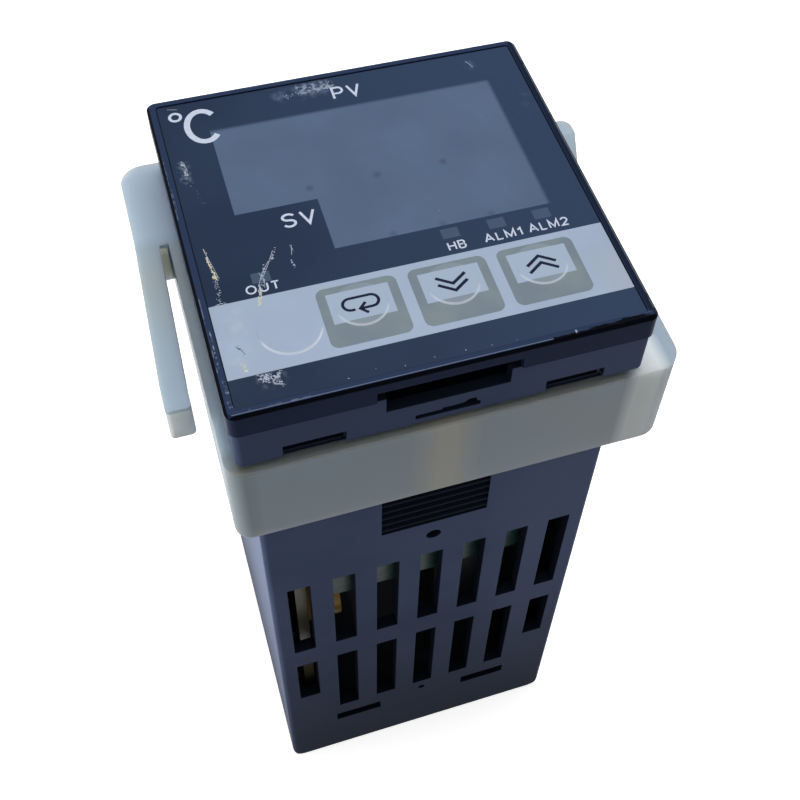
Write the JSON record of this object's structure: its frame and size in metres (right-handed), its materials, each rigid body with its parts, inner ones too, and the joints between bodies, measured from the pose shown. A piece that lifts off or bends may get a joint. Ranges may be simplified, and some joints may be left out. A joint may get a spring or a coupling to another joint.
{
  "type": "panel-mount temperature controller",
  "caption": "Square panel-mount digital temperature controller, black box body with display window, keys, side vents and a white slide-on mounting frame.",
  "frame": {"origin": "centre of the rear end, on the surface that the controller stands on", "axes": "+Z out of the display along the body, +X to the display's right, +Y up the display"},
  "size_m": [0.0594, 0.0486, 0.1098],
  "materials": {
    "case_plastic": "moulded, fine matt grain",
    "block_plastic": "moulded, matt",
    "contact_brass": "stamped, tin over brass",
    "screw_steel": "zinc plated",
    "adapter_nylon": "natural nylon, moulded, slightly translucent",
    "bezel_plastic": "moulded, half gloss",
    "printed_sheet": "printed polycarbonate film",
    "smoked_acrylic": "smoked filter",
    "key_film": "printed film, embossed",
    "plunger_plastic": "moulded",
    "switch_plastic": "moulded",
    "lamp_resin": "diffused resin",
    "circuit_board": "glass-epoxy with solder mask",
    "display_body": "moulded, faces filled with resin",
    "header_plastic": "moulded",
    "ferrite": "sintered",
    "winding_tape": "polyester tape",
    "relay_plastic": "moulded",
    "capacitor_sleeve": "shrunk sleeve",
    "enamelled_copper": "enamelled wire",
    "chip_resin": "moulded epoxy"
  },
  "bodies": {
    "case": {"rear_case": "case_plastic", "terminal_block": "block_plastic", "terminal_contacts": "contact_brass", "terminal_screws": "screw_steel"},
    "mechanism": {"front_bezel": "bezel_plastic", "front_sheet": "printed_sheet", "display_filter": "smoked_acrylic", "key_switches": "switch_plastic", "indicator_lamps": "lamp_resin", "display_board": "circuit_board", "pv_display": "display_body", "sv_display": "display_body", "control_board": "circuit_board", "power_board": "circuit_board", "option_board": "circuit_board", "board_headers": "header_plastic", "transformer_core": "ferrite", "transformer_bobbin": "winding_tape", "output_relay": "relay_plastic", "alarm_relays": "relay_plastic", "filter_capacitors": "capacitor_sleeve", "choke_coil": "enamelled_copper", "processor": "chip_resin"},
    "mode_key": {"mode_key": "key_film", "mode_plunger": "plunger_plastic"},
    "down_key": {"down_key": "key_film", "down_plunger": "plunger_plastic"},
    "up_key": {"up_key": "key_film", "up_plunger": "plunger_plastic"},
    "adapter": {"mounting_adapter": "adapter_nylon"}
  },
  "joints": [
    {"name": "draw_out", "type": "slide", "parent": "case", "child": "mechanism", "axis": [0, 0, 1], "range_m": [0, 0.1]},
    {"name": "mode_key_press", "type": "slide", "parent": "mechanism", "child": "mode_key", "axis": [0, 0, -1], "range_m": [0, 0.0003], "stiffness_N_per_m": 5000, "springref_m": -0.0001},
    {"name": "down_key_press", "type": "slide", "parent": "mechanism", "child": "down_key", "axis": [0, 0, -1], "range_m": [0, 0.0003], "stiffness_N_per_m": 5000, "springref_m": -0.0001},
    {"name": "up_key_press", "type": "slide", "parent": "mechanism", "child": "up_key", "axis": [0, 0, -1], "range_m": [0, 0.0003], "stiffness_N_per_m": 5000, "springref_m": -0.0001},
    {"name": "adapter_slide", "type": "slide", "parent": "case", "child": "adapter", "axis": [0, 0, -1], "range_m": [0, 0.0845]}
  ]
}
